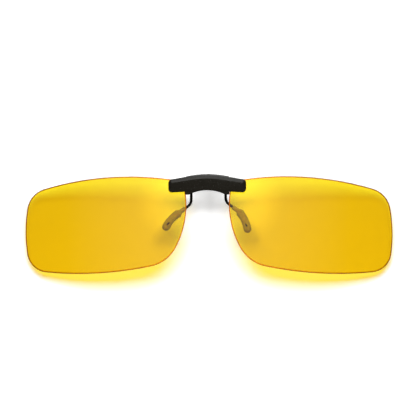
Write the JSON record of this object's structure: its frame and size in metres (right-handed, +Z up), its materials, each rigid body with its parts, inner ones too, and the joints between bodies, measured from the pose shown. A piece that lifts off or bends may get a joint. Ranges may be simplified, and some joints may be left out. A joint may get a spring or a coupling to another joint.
{
  "type": "clip-on sunglasses",
  "caption": "Rimless tinted lenses on an arched bridge bar, with a sprung finger lever whose padded wires clamp them to the front of spectacles.",
  "frame": {"origin": "mid-plane of the face, on the plane of the two clamp blocks' rear faces that rest on the spectacles, at mid-height of the bridge bar", "axes": "+X across the face towards the lens at the right of a front view, front faces -Y, +Z up"},
  "size_m": [0.1322, 0.0107, 0.0361],
  "materials": {
    "lens": "yellow tinted polycarbonate, polished",
    "black_plastic": "black moulded nylon, satin",
    "black_wire": "black coated spring steel wire",
    "steel": "bright spring steel",
    "screw_steel": "stainless screw",
    "silicone": "grey translucent silicone"
  },
  "bodies": {
    "front": {"bridge_bar": "black_plastic", "lens_left": "lens", "lens_right": "lens", "gasket_left": "silicone", "gasket_right": "silicone", "clamp_block_left": "black_plastic", "clamp_block_right": "black_plastic", "lens_screw_left_inner": "screw_steel", "lens_screw_left_outer": "screw_steel", "lens_screw_right_inner": "screw_steel", "lens_screw_right_outer": "screw_steel", "hinge_pin": "steel", "torsion_spring": "steel"},
    "lever": {"clip_lever": "black_plastic", "leg_wire_left": "black_wire", "leg_wire_right": "black_wire", "pad_left": "silicone", "pad_right": "silicone"}
  },
  "joints": [
    {"name": "lever_pivot", "type": "hinge", "parent": "front", "child": "lever", "pos_m": [0, 0.0023, -0.0015], "axis": [1, 0, 0], "range_deg": [0, 35], "stiffness_Nm_per_rad": 0.02, "springref_deg": -28.65, "deforming": ["torsion_spring"]}
  ]
}
